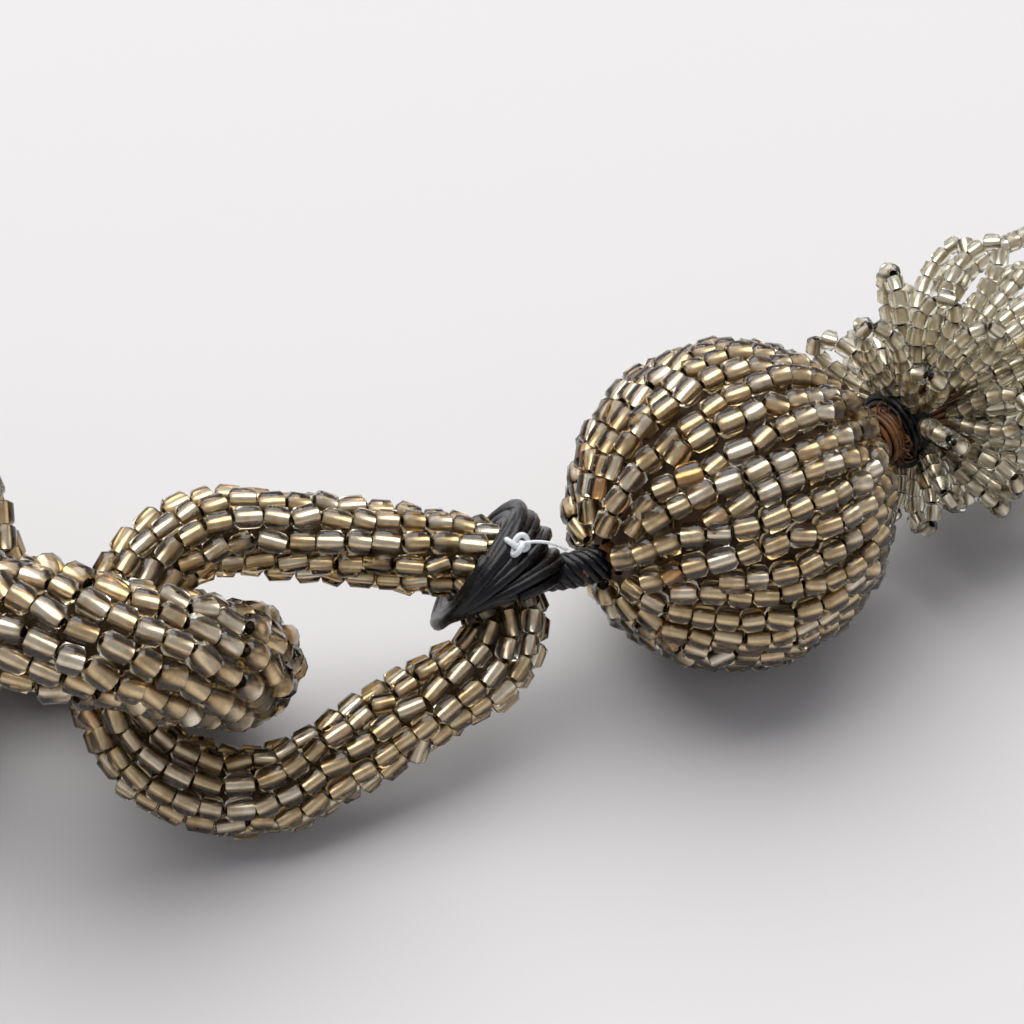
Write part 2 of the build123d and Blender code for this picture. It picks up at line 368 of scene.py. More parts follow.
# %% Glass and silver
def bead_glass(name, plain, pale, amber):
    """Smoky glass; its tint follows the bead's tone."""
    material, tree, shader = node_material(name)
    shader.inputs["Transmission Weight"].default_value = 1.0
    shader.inputs["IOR"].default_value = 1.5
    shader.inputs["Roughness"].default_value = 0.05
    tint = add(tree, "ShaderNodeGroup", node_tree=TONE_GROUP)
    tint.inputs["Plain"].default_value = (*plain, 1)
    tint.inputs["Pale"].default_value = (*pale, 1)
    tint.inputs["Amber"].default_value = (*amber, 1)
    tree.links.new(tint.outputs["Color"], shader.inputs["Base Color"])
    return material


def lining_silver(name, clean, tarnished):
    """Silver lining with cloudy tarnish."""
    material, tree, shader = node_material(name)
    shader.inputs["Metallic"].default_value = 1.0
    where = add(tree, "ShaderNodeTexCoord")
    cloud = add(tree, "ShaderNodeTexNoise", Scale=900.0, Detail=3.0)
    colour = add(tree, "ShaderNodeMix", data_type="RGBA")
    colour.inputs[6].default_value = (*clean, 1)
    colour.inputs[7].default_value = (*tarnished, 1)
    share = add(tree, "ShaderNodeMapRange", **{"From Min": 0.45, "From Max": 0.75})
    rough = add(tree, "ShaderNodeMapRange", **{"To Min": 0.22, "To Max": 0.38})
    link = tree.links.new
    link(where.outputs["Object"], cloud.inputs["Vector"])
    link(cloud.outputs["Fac"], share.inputs["Value"])
    link(share.outputs["Result"], colour.inputs["Factor"])
    link(colour.outputs[2], shader.inputs["Base Color"])
    link(cloud.outputs["Fac"], rough.inputs["Value"])
    link(rough.outputs["Result"], shader.inputs["Roughness"])
    return material


ROPE_GLASS = bead_glass("smoky rope glass", (0.74, 0.605, 0.385), (0.88, 0.83, 0.73), (0.70, 0.43, 0.18))
TASSEL_GLASS = bead_glass("pale tassel glass", (0.80, 0.77, 0.65), (0.90, 0.90, 0.81), (0.72, 0.62, 0.40))
SILVER = lining_silver("tarnished lining", (0.97, 0.90, 0.79), (0.64, 0.51, 0.34))


# %% Fibre group
def make_fibre_group():
    """Fuzz of spun thread: the height is half a fine noise plus a coarse one, which is also the shade."""
    group, inside, outside = new_group(
        "spun fibre", [("Fine", "NodeSocketFloat", 6000.0), ("Coarse", "NodeSocketFloat", 900.0)],
        [("Height", "NodeSocketFloat"), ("Shade", "NodeSocketFloat")])
    where = add(group, "ShaderNodeTexCoord")
    fine = add(group, "ShaderNodeTexNoise", Detail=2.0)
    coarse = add(group, "ShaderNodeTexNoise", Detail=3.0, Distortion=0.6)
    both = add(group, "ShaderNodeMath", operation="MULTIPLY_ADD")
    both.inputs[1].default_value = 0.5
    link = group.links.new
    for noise, scale in ((fine, "Fine"), (coarse, "Coarse")):
        link(where.outputs["Object"], noise.inputs["Vector"])
        link(inside.outputs[scale], noise.inputs["Scale"])
    link(fine.outputs["Fac"], both.inputs[0])
    link(coarse.outputs["Fac"], both.inputs[2])
    link(both.outputs["Value"], outside.inputs["Height"])
    link(coarse.outputs["Fac"], outside.inputs["Shade"])
    return group


FIBRE_GROUP = make_fibre_group()


def spun_thread(name, dark, light, roughness, coat, depth):
    """Thread that runs from a dark to a light colour by its fibres, which also stand up as a bump."""
    material, tree, shader = node_material(name)
    shader.inputs["Coat Weight"].default_value = coat
    shader.inputs["Coat Roughness"].default_value = 0.12
    shader.inputs["Specular IOR Level"].default_value = 0.3
    fibre = add(tree, "ShaderNodeGroup", node_tree=FIBRE_GROUP)
    fibre.inputs["Fine"].default_value = 6000.0
    fibre.inputs["Coarse"].default_value = 900.0
    colour = add(tree, "ShaderNodeMix", data_type="RGBA")
    colour.inputs[6].default_value = (*dark, 1)
    colour.inputs[7].default_value = (*light, 1)
    spread = add(tree, "ShaderNodeMapRange", **{"From Min": 0.35, "From Max": 0.7})
    rough = add(tree, "ShaderNodeMapRange", **{"To Min": roughness - 0.12, "To Max": roughness + 0.12})
    bump = add(tree, "ShaderNodeBump", Strength=depth, Distance=0.0001)
    link = tree.links.new
    link(fibre.outputs["Shade"], spread.inputs["Value"])
    link(spread.outputs["Result"], colour.inputs["Factor"])
    link(colour.outputs[2], shader.inputs["Base Color"])
    link(fibre.outputs["Shade"], rough.inputs["Value"])
    link(rough.outputs["Result"], shader.inputs["Roughness"])
    link(fibre.outputs["Height"], bump.inputs["Height"])
    link(bump.outputs["Normal"], shader.inputs["Normal"])
    return material


CORE_COTTON = spun_thread("core cotton", (0.05, 0.032, 0.016), (0.15, 0.10, 0.055), 0.85, 0.0, 0.8)
BLACK_THREAD = spun_thread("black waxed thread", (0.001, 0.001, 0.0015), (0.005, 0.0045, 0.006),
                           0.3, 0.12, 0.7)
BROWN_THREAD = spun_thread("brown waxed thread", (0.10, 0.035, 0.012), (0.30, 0.13, 0.05), 0.45, 0.2, 0.7)


# %% Wood and nylon
def turned_wood():
    """Dark stained wood: growth rings as a wave on the distance from a line, with darker late wood."""
    material, tree, shader = node_material("turned wood")
    shader.inputs["Roughness"].default_value = 0.6
    where = add(tree, "ShaderNodeTexCoord")
    rings = add(tree, "ShaderNodeTexWave", wave_type="RINGS", Scale=160.0, Distortion=3.0, Detail=2.0)
    colour = add(tree, "ShaderNodeMix", data_type="RGBA")
    colour.inputs[6].default_value = (0.05, 0.028, 0.014, 1)
    colour.inputs[7].default_value = (0.13, 0.075, 0.038, 1)
    link = tree.links.new
    link(where.outputs["Object"], rings.inputs["Vector"])
    link(rings.outputs["Fac"], colour.inputs["Factor"])
    link(colour.outputs[2], shader.inputs["Base Color"])
    return material


def clear_nylon():
    """Milky clear line, with scuffs that change its roughness."""
    material, tree, shader = node_material("clear nylon")
    shader.inputs["Base Color"].default_value = (0.93, 0.95, 0.96, 1)
    shader.inputs["Transmission Weight"].default_value = 0.25
    shader.inputs["IOR"].default_value = 1.5
    where = add(tree, "ShaderNodeTexCoord")
    scuffs = add(tree, "ShaderNodeTexNoise", Scale=2500.0, Detail=2.0)
    rough = add(tree, "ShaderNodeMapRange", **{"To Min": 0.08, "To Max": 0.4})
    link = tree.links.new
    link(where.outputs["Object"], scuffs.inputs["Vector"])
    link(scuffs.outputs["Fac"], rough.inputs["Value"])
    link(rough.outputs["Result"], shader.inputs["Roughness"])
    return material


WOOD = turned_wood()
NYLON = clear_nylon()
print("materials", len(bpy.data.materials))

# %% [markdown]
# ## From one bead to a row
# A row of beads is a line, a direction away from its middle at each point, and a list of bead
# lengths that add up to the line's length. No two seed beads are the same, so each one gets its
# own shift, lean, width and tone. A few stand so far over that their bores show.

# %% Row helpers
def strung(line, out, pitch, unevenness):
    """Beads in single file: uneven lengths that add up to the line's own, each at the middle of its share."""
    steps = np.linalg.norm(np.diff(line, axis=0), axis=1)
    far = np.concatenate([[0], np.cumsum(steps)])
    count = max(int(round(far[-1] / pitch)), 1)
    lengths = 1 + unevenness * chance.uniform(-1, 1, count)
    lengths *= far[-1] / lengths.sum()
    middles = np.cumsum(lengths) - lengths / 2
    pick = lambda table: np.stack([np.interp(middles, far, table[:, k]) for k in range(3)], 1)
    way = np.gradient(line, axis=0)
    return {"centre": pick(line), "along": unit(pick(way)), "out": unit(pick(out)), "length": lengths}


def loosened(groups, width, wander, lean, upset):
    """Joins rows into one set of beads and gives each bead a small shift, a lean and its own width and tone.

    A few are upset: they stand so far over that their bores show.
    """
    beads = {key: np.concatenate([group[key] for group in groups]) for key in groups[0]}
    count = len(beads["length"])
    side = np.cross(beads["along"], beads["out"])
    leaning = chance.normal(0, lean, (count, 2))
    leaning[chance.random(count) < upset] *= 5
    leaning = leaning.clip(-0.55, 0.55)
    along = beads["along"] + side * leaning[:, :1] + beads["out"] * leaning[:, 1:]
    beads["along"] = unit(along)
    beads["side"] = unit(np.cross(beads["along"], beads["out"]))
    beads["out"] = np.cross(beads["side"], beads["along"])
    shift = chance.normal(0, wander, (count, 1)).clip(-2 * wander, 1.1 * wander)
    beads["centre"] = beads["centre"] + beads["out"] * shift
    beads["width"] = width * chance.normal(1, 0.055, count).clip(0.85, 1.15)
    beads["length"] = beads["length"] * 0.97
    beads["tone"] = chance.random(count)
    return beads


def bead_pieces(name, beads, glass, body):
    """Makes the glass of a set of beads and the linings inside it, riding on a body."""
    pieces = []
    for part, template, materials, face_kind in (("glass", GLASS, [glass], None),
                                                 ("lining", LINING, [SILVER, CORE_COTTON], LINING_FACES)):
        points, normals, faces = placed(template, beads)
        kinds = None if face_kind is None else np.tile(face_kind, len(beads["tone"]))
        piece = new_mesh(f"{name}_{part}", points, faces, materials, normals, kinds)
        point_values(piece, "tone", np.repeat(beads["tone"], len(template[0])))
        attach(piece, body)
        pieces.append(piece)
    return pieces


# %% [markdown]
# ## Tassel strands
# Each strand is a limp thread of small pale beads, 92 to 104 mm long. It leaves the neck, runs out
# inside the tassel, folds and comes back along the outside, and both ends go into the neck. Its
# route is a NURBS curve, which is smooth as a hanging thread is, and the beads follow points that
# are read back from the curve.

# %% Route of a strand
STRAND_COUNT = 7
STRAND_REACH = 49.0 * MM
STRAND_BEAD = 1.7 * MM
STRAND_PITCH = 1.42 * MM
FOLD_RADIUS = 2.3 * MM
DROOP, SPREAD, SETTLE = 7.0 * MM, 0.25, 0.58
# binding, wrap, bare threads, and the gap before the first beads
NECK_LENGTH = (2.2 + 1.8 + 2.6 + 0.6) * MM
# along the tassel and off its axis, in millimetres
STRAND_OUT = [(0.0, 2.6), (5.5, 3.0), (13.0, 4.3), (24.0, 4.5), (35.0, 5.2), (42.0, 4.9)]
STRAND_BACK = [(41.0, 9.9), (33.0, 10.6), (22.0, 10.4), (13.0, 10.9), (7.0, 9.7), (3.0, 7.0), (0.0, 4.8)]


def strand_points(end, number):
    """Out, round a fold and back, spread round the tassel's axis by the strand's number.

    A point is the neck's end plus way * along plus (side * cos + up * sin) * off, less a droop that
    grows with the square of along. The side part widens and the up part settles as along grows.
    """
    angle = 2 * pi * (number + 0.25) / STRAND_COUNT
    reach = STRAND_REACH - 2.5 * MM * (number % 3)
    off = (STRAND_OUT[-1][1] + STRAND_BACK[0][1]) / 2 * MM
    corner = FOLD_RADIUS * tan(radians(22.5))
    near, far = reach - FOLD_RADIUS + corner, reach
    fold = [(near, off - FOLD_RADIUS), (far, off - corner), (far, off + corner), (near, off + FOLD_RADIUS)]
    scale = reach / STRAND_REACH * MM
    flat = [(s * scale, r * MM) for s, r in STRAND_OUT] + fold + [(s * scale, r * MM) for s, r in STRAND_BACK]
    flat = np.array(flat)
    share = flat[:, :1] / STRAND_REACH
    side = np.cross(end["tassel_way"], UP)
    outward = side * cos(angle) * (1 + SPREAD * share) + UP * sin(angle) * (1 - SETTLE * share)
    outward = outward * off + unit(outward) * (flat[:, 1:] - off)
    start = end["pole"] + end["tassel_way"] * NECK_LENGTH
    return start + end["tassel_way"] * flat[:, :1] + outward - UP * DROOP * share**2, reach


def smooth_route(points):
    """The points of a NURBS curve that has these points as its control points."""
    data = bpy.data.curves.new("route", "CURVE")
    data.dimensions = "3D"
    spline = data.splines.new("NURBS")
    spline.points.add(len(points) - 1)
    spline.points.foreach_set("co", np.column_stack([points, np.ones(len(points))]).ravel())
    spline.order_u = 3
    spline.use_endpoint_u = True
    spline.resolution_u = 12
    curve = bpy.data.objects.new("route", data)
    bpy.context.scene.collection.objects.link(curve)
    bpy.context.view_layer.update()
    mesh = bpy.data.meshes.new_from_object(curve)
    line = np.zeros(len(mesh.vertices) * 3, dtype=np.float32)
    mesh.vertices.foreach_get("co", line)
    bpy.data.objects.remove(curve)
    bpy.data.curves.remove(data)
    bpy.data.meshes.remove(mesh)
    return line.reshape(-1, 3).astype(float)


# %% Strands of beads
for end in ENDS:
    tassel = f"tassel_{end['number']}"
    for number in range(STRAND_COUNT):
        route, reach = strand_points(end, number)
        line = smooth_route(route)
        out = np.cross(np.gradient(line, axis=0), UP)
        beads = loosened([strung(line, unit(out), STRAND_PITCH, 0.15)], STRAND_BEAD, 0.02 * MM, 0.06, 0.0)
        name = f"{tassel}_strand_{number + 1}"
        glass, lining = bead_pieces(f"{name}_beads", beads, TASSEL_GLASS, tassel)
        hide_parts(name)
print("beads on a strand", len(beads["tone"]))


# %% [markdown]
# ## Rows of beads round a rope
# The rope's beads lie in rows along it, side by side round its section, and wind slowly round it.
# A loop's middle line is the outline round two circles. Its point is a centre plus a radius along
# a normal, and the centre, the radius and the normal's angle each change evenly with length.

# %% Rope rows
def outline(big, small, span, count):
    """Centre plus radius times normal; all three run straight between four knots of arc length."""
    opening = np.arccos((big - small) / span)
    run = span * sin(opening)
    knots = np.cumsum([0, 2 * small * opening, run, 2 * big * (pi - opening), run])
    far = np.linspace(0, knots[-1], count)
    angle = np.interp(far, knots, [-opening, opening, opening, 2 * pi - opening, 2 * pi - opening])
    radius = np.interp(far, knots, [small, small, big, big, small])
    normal = np.stack([np.cos(angle), np.sin(angle)], 1)
    middle_x = np.interp(far, knots, [span, span, 0, 0, span])
    return far, np.stack([middle_x, 0 * far], 1) + radius[:, None] * normal, normal


def rope_rows(origin, axes, big, small, span, reach, rows, turns):
    """Each row's point is the middle line plus reach times (normal * cos + plane normal * sin) of its angle.

    The angle grows evenly along the rope, so that each row ends where another begins.
    """
    far, line, normal = outline(big, small, span, 500)
    along, across, square = axes
    line = origin + line[:, :1] * along + line[:, 1:] * across
    outward = normal[:, :1] * along + normal[:, 1:] * across
    angle = (np.arange(rows)[:, None] + turns * far / far[-1]) * 2 * pi / rows
    out = np.cos(angle)[..., None] * outward + np.sin(angle)[..., None] * square
    return line + reach * out, out


# %% Beads on the links and the end loops
LINK_ROWS, LINK_BEAD, LINK_PITCH, LINK_TURNS = 11, 2.25 * MM, 2.4 * MM, -17
LOOP_ROWS, LOOP_BEAD, LOOP_PITCH, LOOP_TURNS = 9, 1.95 * MM, 2.15 * MM, 5
for number, (centre, axes) in enumerate(LINKS, 1):
    origin = centre - axes[0] * LINK_STRAIGHT / 2
    lines, outs = rope_rows(origin, axes, LINK_BEND, LINK_FAR_BEND, LINK_STRAIGHT,
                            (LINK_ROPE - LINK_BEAD) / 2, LINK_ROWS, LINK_TURNS)
    rows = [strung(line, out, LINK_PITCH, 0.18) for line, out in zip(lines, outs)]
    beads = loosened(rows, LINK_BEAD, 0.2 * MM, 0.15, 0.06)
    pieces = bead_pieces(f"link_{number:02d}", beads, ROPE_GLASS, f"link_{number:02d}")
    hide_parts(f"link_{number:02d}_beads")
print("beads on a link", len(beads["tone"]))

for end in ENDS:
    lines, outs = rope_rows(end["centre"], end["axes"], LOOP_BEND, TIP_BEND, LOOP_SPAN,
                            (LOOP_ROPE - LOOP_BEAD) / 2, LOOP_ROWS, LOOP_TURNS)
    rows = [strung(line, out, LOOP_PITCH, 0.18) for line, out in zip(lines, outs)]
    beads = loosened(rows, LOOP_BEAD, 0.14 * MM, 0.14, 0.04)
    name = f"end_loop_{end['number']}"
    pieces = bead_pieces(name, beads, ROPE_GLASS, name)
    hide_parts(f"{name}_beads")
print("beads on an end loop", len(beads["tone"]))

# %% [markdown]
# ## The balls
# A ball's rows run from pole to pole like the lines on a globe. There is less room nearer a pole,
# so one row in three stops at 38 degrees, others at 56 and 67, and the rest move over to share
# the room that they leave.

# %% Ball rows
BALL_ROWS, BALL_BEAD, BALL_PITCH = 36, 2.1 * MM, 2.1 * MM
# for nine neighbouring rows: where each stops, and its place among the nine at four latitudes
ROW_ENDS = np.radians([77, 56, 38, 67, 77, 38, 56, 67, 38])
PLACE_LATITUDES = np.radians([28, 46, 62, 72])
ROW_PLACES = np.array([(0, 0, 0, 0), (1, 1.5, 1.5, 1.5), (2, 2, 2, 2), (3, 3, 2.25, 2.25), (4, 4.5, 4.5, 4.5),
                       (5, 5, 5, 5), (6, 6, 6, 6), (7, 7.5, 6.75, 6.75), (8, 8, 8, 8)])
for end in ENDS:
    way = end["ball_way"]
    side = unit(np.cross(way, UP))
    over = np.cross(side, way)
    reach = BALL_RADIUS - BALL_BEAD / 2
    rows = []
    for row in range(BALL_ROWS):
        stop = ROW_ENDS[row % 9] + chance.uniform(-0.03, 0.03)
        latitude = np.linspace(-stop, stop, 60)[:, None]
        place = row - row % 9 + np.interp(np.abs(latitude), PLACE_LATITUDES, ROW_PLACES[row % 9])
        sway = 0.16 * np.sin(latitude * chance.uniform(2, 5) + chance.uniform(0, 6))
        turn = 2 * pi * (place + 0.12 * chance.uniform(-1, 1) + sway) / BALL_ROWS
        out = np.sin(latitude) * way + np.cos(latitude) * (np.cos(turn) * side + np.sin(turn) * over)
        rows.append(strung(end["ball"] + reach * out, out, BALL_PITCH, 0.15))
    beads = loosened(rows, BALL_BEAD, 0.13 * MM, 0.11, 0.02)
    name = f"ball_{end['number']}"
    pieces = bead_pieces(name, beads, ROPE_GLASS, name)
    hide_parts(f"{name}_beads")
print("beads on a ball", len(beads["tone"]))

# %% [markdown]
# ## Thread
# All thread on the band is a round tube carried along a line. A coil knows which way is away from
# its own middle, so that direction, made square to the line, gives each section its place.

# %% Tubes of thread
THREAD_SIDES = 8


def tube(line, out, radius):
    """Sections round a line: point plus radius * (normal * cos + binormal * sin), with flat closed ends.

    The normal is the outward direction with its part along the line taken away.
    """
    way = unit(np.gradient(line, axis=0))
    normal = unit(out - way * np.sum(out * way, axis=1, keepdims=True))
    other = np.cross(way, normal)
    turn = np.arange(THREAD_SIDES) * 2 * pi / THREAD_SIDES
    rings = np.cos(turn)[:, None] * normal[:, None] + np.sin(turn)[:, None] * other[:, None]
    points = line[:, None] + np.asarray(radius).reshape(-1, 1, 1) * rings
    row, side = np.meshgrid(np.arange(len(line) - 1), np.arange(THREAD_SIDES), indexing="ij")
    corner = lambda i, j: i * THREAD_SIDES + j % THREAD_SIDES
    wall = np.stack([corner(row, side), corner(row, side + 1), corner(row + 1, side + 1),
                     corner(row + 1, side)], -1).reshape(-1, 4)
    step = np.arange(1, THREAD_SIDES - 1, 2)
    last = (len(line) - 1) * THREAD_SIDES
    end = np.stack([0 * step, step, step + 1, step + 2], 1) + last
    start = np.stack([0 * step, step + 2, step + 1, step], 1)
    return points.reshape(-1, 3), np.concatenate([wall, end, start])


def joined(tubes):
    """Many tubes as one set of points and faces."""
    counts = np.cumsum([0] + [len(points) for points, _ in tubes])
    return (np.concatenate([points for points, _ in tubes]),
            np.concatenate([faces + start for (_, faces), start in zip(tubes, counts)]))


def coil(start, way, outline, pitch, thread, jitter):
    """Turns round an axis: the radius follows an outline of (along, radius), and a turn is a pitch long.

    A little noise that changes slowly from turn to turn keeps the turns from being perfect.
    """
    along_knots, radius_knots = np.array(outline).T
    turns = (along_knots[-1] - along_knots[0]) / pitch
    count = int(turns * 28)
    angle = np.linspace(0, turns * 2 * pi, count)
    wobble = np.interp(angle, np.linspace(0, angle[-1], int(turns * 3) + 2),
                       chance.normal(0, jitter, int(turns * 3) + 2))
    along = np.linspace(along_knots[0], along_knots[-1], count) + wobble
    radius = np.interp(along, along_knots, radius_knots) + np.abs(wobble) - thread
    side = unit(np.cross(way, UP))
    over = np.cross(side, way)
    out = np.cos(angle)[:, None] * side + np.sin(angle)[:, None] * over
    return tube(start + along[:, None] * way + radius[:, None] * out, out, thread)


def thread_piece(name, tubes, material, body, node):
    """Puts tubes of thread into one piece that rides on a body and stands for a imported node."""
    points, faces = joined(tubes)
    piece = new_mesh(name, points, faces, [material])
    if body:
        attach(piece, body)
    if node:
        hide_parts(node)
    return piece


# %% [markdown]
# ## Lashing
# Black waxed thread is wound round the loop's tip in several passes that cross each other, and its
# ends run on as a twisted bundle into the ball. The wound part is a coil on a torus: it goes round
# the rope many times while it moves back and forth along the tip. The bundle crosses a hinge, so
# it is blended from the loop to the cord in the ball.

# %% Passes of lashing
LASH_THREAD = 0.48 * MM
LASH_HALF_ARC = radians(17.0)
# turns, height over the rope in millimetres, first and last place in half arcs, and unevenness
LASH_PASSES = [(12, 0.0, -1.15, 1.1, 0.02), (10, 0.6, 1.1, -1.0, 0.05), (7, 1.1, -0.9, 1.0, 0.09),
               (4, 1.5, 0.7, -0.2, 0.1)]
# the stem starts this far outside the lashed tip and ends this far short of the ball's centre
STEM_START = 3.4 * MM
STEM_END = 12.4 * MM
# threads, their distance from the middle and radius in millimetres, and turns
STEM_LAYERS = [(7, 1.02, 0.5, 1.1), (3, 0.4, 0.42, 0.8)]


def lashing_pass(end, turns, reach, first, last, wander):
    """Round the rope: tip + ring * bend + reach * (ring * cos + plane normal * sin).

    The ring direction turns about the tip as the arc grows, with a slow noise that crosses the turns.
    """
    along, across, square = end["axes"]
    count = int(turns * 26)
    round_rope = np.linspace(0, turns * 2 * pi, count) + chance.uniform(0, 6)
    knots = int(turns * 2) + 2
    loose = np.interp(np.arange(count), np.linspace(0, count, knots), chance.normal(0, wander, knots))
    arc = LASH_ANGLE + np.linspace(first, last, count) * LASH_HALF_ARC + loose
    ring = np.cos(arc)[:, None] * along + np.sin(arc)[:, None] * across
    out = np.cos(round_rope)[:, None] * ring + np.sin(round_rope)[:, None] * square
    high = reach + np.abs(loose)[:, None] * 1.2 * MM
    return tube(end["tip"] + ring * TIP_BEND + out * high, out, LASH_THREAD)


def twisted(line, side, count, reach, thread, turns):
    """Threads laid round a line: the line plus reach * (side * cos + over * sin) of a growing angle."""
    way = unit(np.gradient(line, axis=0))
    side = unit(side - way * np.sum(side * way, axis=1, keepdims=True))
    over = np.cross(way, side)
    share = np.linspace(0, 1, len(line))[:, None]
    tubes = []
    for number in range(count):
        angle = 2 * pi * (number / count + turns * share) + chance.normal(0, 0.08)
        out = np.cos(angle) * side + np.sin(angle) * over
        tubes.append(tube(line + out * reach, out, thread))
    return tubes


def bent(start, corner, finish, count):
    """A curve that is pulled towards a corner: a quadratic with weights (1-t)^2, 2t(1-t) and t^2."""
    t = np.linspace(0, 1, count)[:, None]
    return start * (1 - t) ** 2 + corner * 2 * t * (1 - t) + finish * t**2


for end in ENDS:
    number = end["number"]
    rope = LOOP_ROPE / 2 + LASH_THREAD
    tubes = [lashing_pass(end, turns, rope + raised * MM, first, last, wander)
             for turns, raised, first, last, wander in LASH_PASSES]
    body = f"end_loop_{number}"
    thread_piece(f"lashing_{number}_turns", tubes, BLACK_THREAD, body, f"lashing_{number}")
    lash_way = unit(end["swing"] - end["lash"])
    inside_ball = end["ball"] - end["ball_way"] * STEM_END
    line = bent(end["lash"] + lash_way * STEM_START, end["swing"], inside_ball, 26)
    side = np.tile(np.cross(lash_way, UP), (len(line), 1))
    tubes = []
    for count, reach, thread, turns in STEM_LAYERS:
        tubes += twisted(line, side, count, reach * MM, thread * MM, turns)
    stem = thread_piece(f"lashing_{number}_stem", tubes, BLACK_THREAD, None, None)
    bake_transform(stem)
print("threads in a lashing's stem", len(tubes))

# %% [markdown]
# ## Nylon knot
# The beads were stitched on with clear nylon line. Its end is tied off on top of the lashing as a
# small overhand knot with a short tail. A trefoil is the shape that such a knot pulls into.

# %% Knot and tail
KNOT_SIZE = 0.3 * MM
KNOT_LINE = 0.24 * MM
TAIL_LINE = 0.13 * MM
for end in ENDS:
    number = end["number"]
    centre = middle(f"nylon_knot_{number}") + UP * 1.4 * MM - end["axes"][0] * 0.5 * MM
    t = np.linspace(0, 2 * pi, 90)
    trefoil = np.column_stack([np.sin(t) + 2 * np.sin(2 * t), np.cos(t) - 2 * np.cos(2 * t),
                               -1.4 * np.sin(3 * t)])
    away = trefoil * np.array([1.0, 1.0, 0.2]) + np.array([0.0, 0.0, 0.3])
    knot = tube(centre + trefoil * KNOT_SIZE, away, KNOT_LINE)
    tail_way = unit(end["swing"] - end["lash"]) + UP * 0.1
    tail_top = centre + tail_way * 2.2 * MM + UP * 0.5 * MM
    tail = bent(centre, tail_top, centre + tail_way * 3.8 * MM - UP * 1.2 * MM, 20)
    tail = tube(tail, np.tile(UP, (len(tail), 1)), TAIL_LINE)
    thread_piece(f"nylon_knot_{number}_line", [knot, tail], NYLON, f"end_loop_{number}",
                 f"nylon_knot_{number}")
print("nylon knots", len(ENDS))

# %% [markdown]
# ## Neck of the tassel
# Brown thread binds the strands' threads together next to the ball, black thread is wound over it,
# and the bare thread ends fan out from there to the first beads.

# %% Stray thread ends
STRAY_COUNT = 22
STRAY_ROOT = 2.2 * MM
STRAY_THREAD = 0.07 * MM


def stray_ends(pole, way, count):
    """Short frayed ends: each leaves the binding at its own angle, a root's distance out, and curls over."""
    side = unit(np.cross(way, UP))
    over = np.cross(side, way)
    tubes = []
    for _ in range(count):
        angle, along = chance.uniform(0, 2 * pi), chance.uniform(0.9, 2.1) * MM
        out = cos(angle) * side + sin(angle) * over
        start = pole + way * along + out * STRAY_ROOT
        curl = np.cross(way, out) * chance.uniform(-1.2, 1.2) * MM + way * chance.uniform(-0.4, 1.0) * MM
        top = start + out * chance.uniform(0.8, 1.6) * MM
        line = bent(start, top, start + out * chance.uniform(0.3, 1.1) * MM + curl, 9)
        tubes.append(tube(line, np.tile(way, (len(line), 1)) + 0.2 * out, STRAY_THREAD))
    return tubes


# %% Binding, wrap and fan
# outlines of the windings: along the tassel from the ball's pole, and off its axis
BINDING = np.array([(0.15, 1.4), (0.9, 2.3), (2.2, 2.5)]) * MM
WRAP = np.array([(2.0, 2.9), (2.4, 3.2), (3.8, 3.2), (4.3, 2.8)]) * MM
OUTER_WRAP = np.array([(2.1, 3.5), (4.2, 3.5)]) * MM
# how far out each layer of the fan lies, as a share, and its threads
FAN_LAYERS = [(0.93, 46), (0.6, 26), (0.25, 9)]
FAN_START, FAN_LENGTH = 3.6 * MM, 3.5 * MM
# in millimetres, the fan's radius where it starts and how much it gains
FAN_ROOT, FAN_FLARE = 2.5, 3.2
FAN_THREAD = 0.16 * MM
for end in ENDS:
    number, pole, way = end["number"], end["pole"], end["tassel_way"]
    tassel = f"tassel_{number}"
    tubes = [coil(pole, way, BINDING, 0.36 * MM, 0.24 * MM, 0.05 * MM)]
    tubes += stray_ends(pole, way, STRAY_COUNT)
    thread_piece(f"neck_binding_{number}_turns", tubes, BROWN_THREAD, tassel,
                 f"neck_binding_{number}")
    tubes = [coil(pole, way, WRAP, 0.42 * MM, 0.27 * MM, 0.04 * MM),
             coil(pole, way, OUTER_WRAP, 0.5 * MM, 0.3 * MM, 0.1 * MM)]
    thread_piece(f"neck_wrap_{number}_turns", tubes, BLACK_THREAD, tassel,
                 f"neck_wrap_{number}")
    side = unit(np.cross(way, UP))
    over = np.cross(side, way)
    tubes = []
    for reach, threads in FAN_LAYERS:
        for thread in range(threads):
            angle = 2 * pi * (thread + chance.uniform(-0.3, 0.3)) / threads
            out = cos(angle) * side + sin(angle) * over
            t = np.linspace(0, 1, 9)[:, None]
            spread = reach * (FAN_ROOT + FAN_FLARE * t**1.4) * MM
            line = pole + way * (FAN_START + FAN_LENGTH * t * chance.uniform(0.86, 1.05)) + out * spread
            tubes.append(tube(line, np.tile(out, (len(line), 1)), FAN_THREAD))
    thread_piece(f"tassel_{number}_thread_fan", tubes, BROWN_THREAD, tassel,
                 f"tassel_{number}_threads")
print("threads in a fan", len(tubes))

# %% [markdown]
# ## Rosette
# Four rings of short bead loops hide the neck. Each loop is an oval of beads that stands out from
# the axis. The ring next to the ball leans back over its shoulder, and each ring after it leans
# further forward along the tassel.

# %% Bead loops round the neck
ROSETTE_BEAD = 1.6 * MM
# loops, then in millimetres their place along the tassel, start off its axis, height, lean and width
ROSETTE_RINGS = [(10, 3.3, 3.4, 5.6, -1.9, 1.8), (11, 5.6, 4.2, 6.4, 1.6, 1.9),
                 (11, 7.4, 4.6, 6.6, 6.5, 2.0), (8, 7.8, 2.8, 3.6, 10.0, 1.9)]


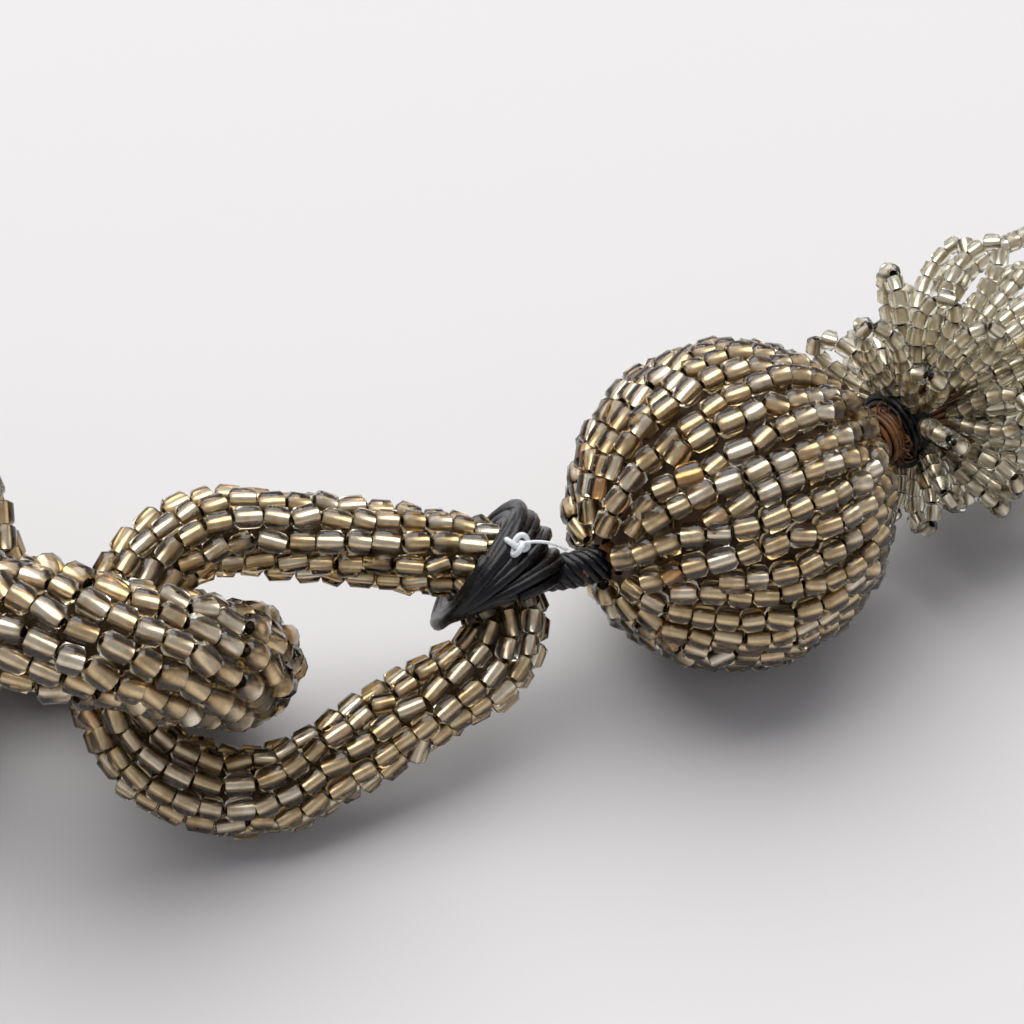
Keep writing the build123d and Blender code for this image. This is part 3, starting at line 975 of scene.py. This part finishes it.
def ring_of_loops(end, loops, root, root_reach, tall, lean, wide):
    """Ovals of beads round the tassel's axis.

    With rise = (1 - cos t) / 2, a point is the pole, plus the way times root + lean * (rise + rise^2 / 4),
    plus the outward direction times (reach + height * rise), plus a sideways one times width * sin t. The
    width swells with the rise, so the oval is narrow at the neck, and each oval has its own twist.
    """
    pole, way = end["pole"], end["tassel_way"]
    side = unit(np.cross(way, UP))
    over = np.cross(side, way)
    turn = np.linspace(0, 2 * pi, 70)[:, None]
    rise = (1 - np.cos(turn)) / 2
    rows = []
    for loop in range(loops):
        angle = 2 * pi * (loop + 0.3 * chance.uniform(-1, 1)) / loops
        out = cos(angle) * side + sin(angle) * over
        height = tall * chance.uniform(0.86, 1.1) * (1 + 0.18 * sin(angle))
        line = pole + way * (root + lean * (rise + 0.25 * rise**2) * chance.uniform(0.8, 1.15))
        line = line + out * (root_reach + height * rise)
        twist = chance.uniform(-0.8, 0.8)
        beside = np.cross(way, out) * cos(twist) + way * sin(twist)
        line = line + beside * wide * chance.uniform(0.85, 1.15) * np.sin(turn) * (0.4 + 0.6 * rise)
        rows.append(strung(line, np.tile(way, (len(line), 1)) + out * 0.3, ROSETTE_BEAD * 0.88, 0.12))
    return rows


for end in ENDS:
    number = end["number"]
    rows = []
    for loops, *sizes in ROSETTE_RINGS:
        rows += ring_of_loops(end, loops, *[size * MM for size in sizes])
    beads = loosened(rows, ROSETTE_BEAD, 0.03 * MM, 0.06, 0.0)
    pieces = bead_pieces(f"rosette_{number}_loops", beads, TASSEL_GLASS, f"tassel_{number}")
    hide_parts(f"rosette_{number}")
print("beads in a rosette", len(beads["tone"]))

# %% [markdown]
# ## What shows between the beads
# The cotton ropes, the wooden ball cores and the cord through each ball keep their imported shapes
# and only need a real surface.

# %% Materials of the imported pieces
def finish(node, material):
    bpy.data.objects[node].material_slots[0].material = material


for number in range(1, LINK_COUNT + 1):
    finish(f"link_{number:02d}_cord", CORE_COTTON)
for number in (1, 2):
    finish(f"end_loop_{number}_cord", CORE_COTTON)
    finish(f"ball_{number}_core", WOOD)
    finish(f"hanging_cord_{number}", BROWN_THREAD)

# %% [markdown]
# ## Table and light
# One large soft light stands above and behind the band and makes the bright bar on each bead. The
# pale light of the room fills the shadows.

# %% Floor
FLOOR_REACH = 3.0


def flat_floor():
    """A square of pale table, as far each way as the floor's reach."""
    corners = np.array([(-1.0, -1.0, 0.0), (1.0, -1.0, 0.0), (1.0, 1.0, 0.0), (-1.0, 1.0, 0.0)]) * FLOOR_REACH
    material, tree, shader = node_material("pale table")
    shader.inputs["Base Color"].default_value = (0.60, 0.584, 0.576, 1)
    shader.inputs["Roughness"].default_value = 0.9
    floor = new_mesh("table", corners, np.array([[0, 1, 2, 3]]), [material])
    floor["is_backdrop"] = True


flat_floor()


# %% Lights
def soft_light(name, azimuth, lift, distance, size, power):
    """A square lamp that faces the aim of the camera from an angle round and above it."""
    data = bpy.data.lights.new(name, "AREA")
    data.size = size
    data.energy = power
    lamp = bpy.data.objects.new(name, data)
    bpy.context.scene.collection.objects.link(lamp)
    away = np.array([sin(azimuth) * cos(lift), cos(azimuth) * cos(lift), sin(lift)])
    lamp.location = Vector(target + away * distance)
    lamp.rotation_mode = "QUATERNION"
    lamp.rotation_quaternion = Vector(-away).to_track_quat("-Z", "Y")


soft_light("softbox", radians(-20), radians(62), 2.0, 2.6, 72.0)
world = bpy.data.worlds.new("room")
world.use_nodes = True
world.node_tree.nodes["Background"].inputs["Color"].default_value = (0.9, 0.92, 1.0, 1)
world.node_tree.nodes["Background"].inputs["Strength"].default_value = 0.42
bpy.context.scene.world = world
bpy.context.scene.view_settings.view_transform = "Standard"

# %% Sizes
low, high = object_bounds()
sizes = {"cad": CAD_BOX, "visual": [list(low), list(high)]}
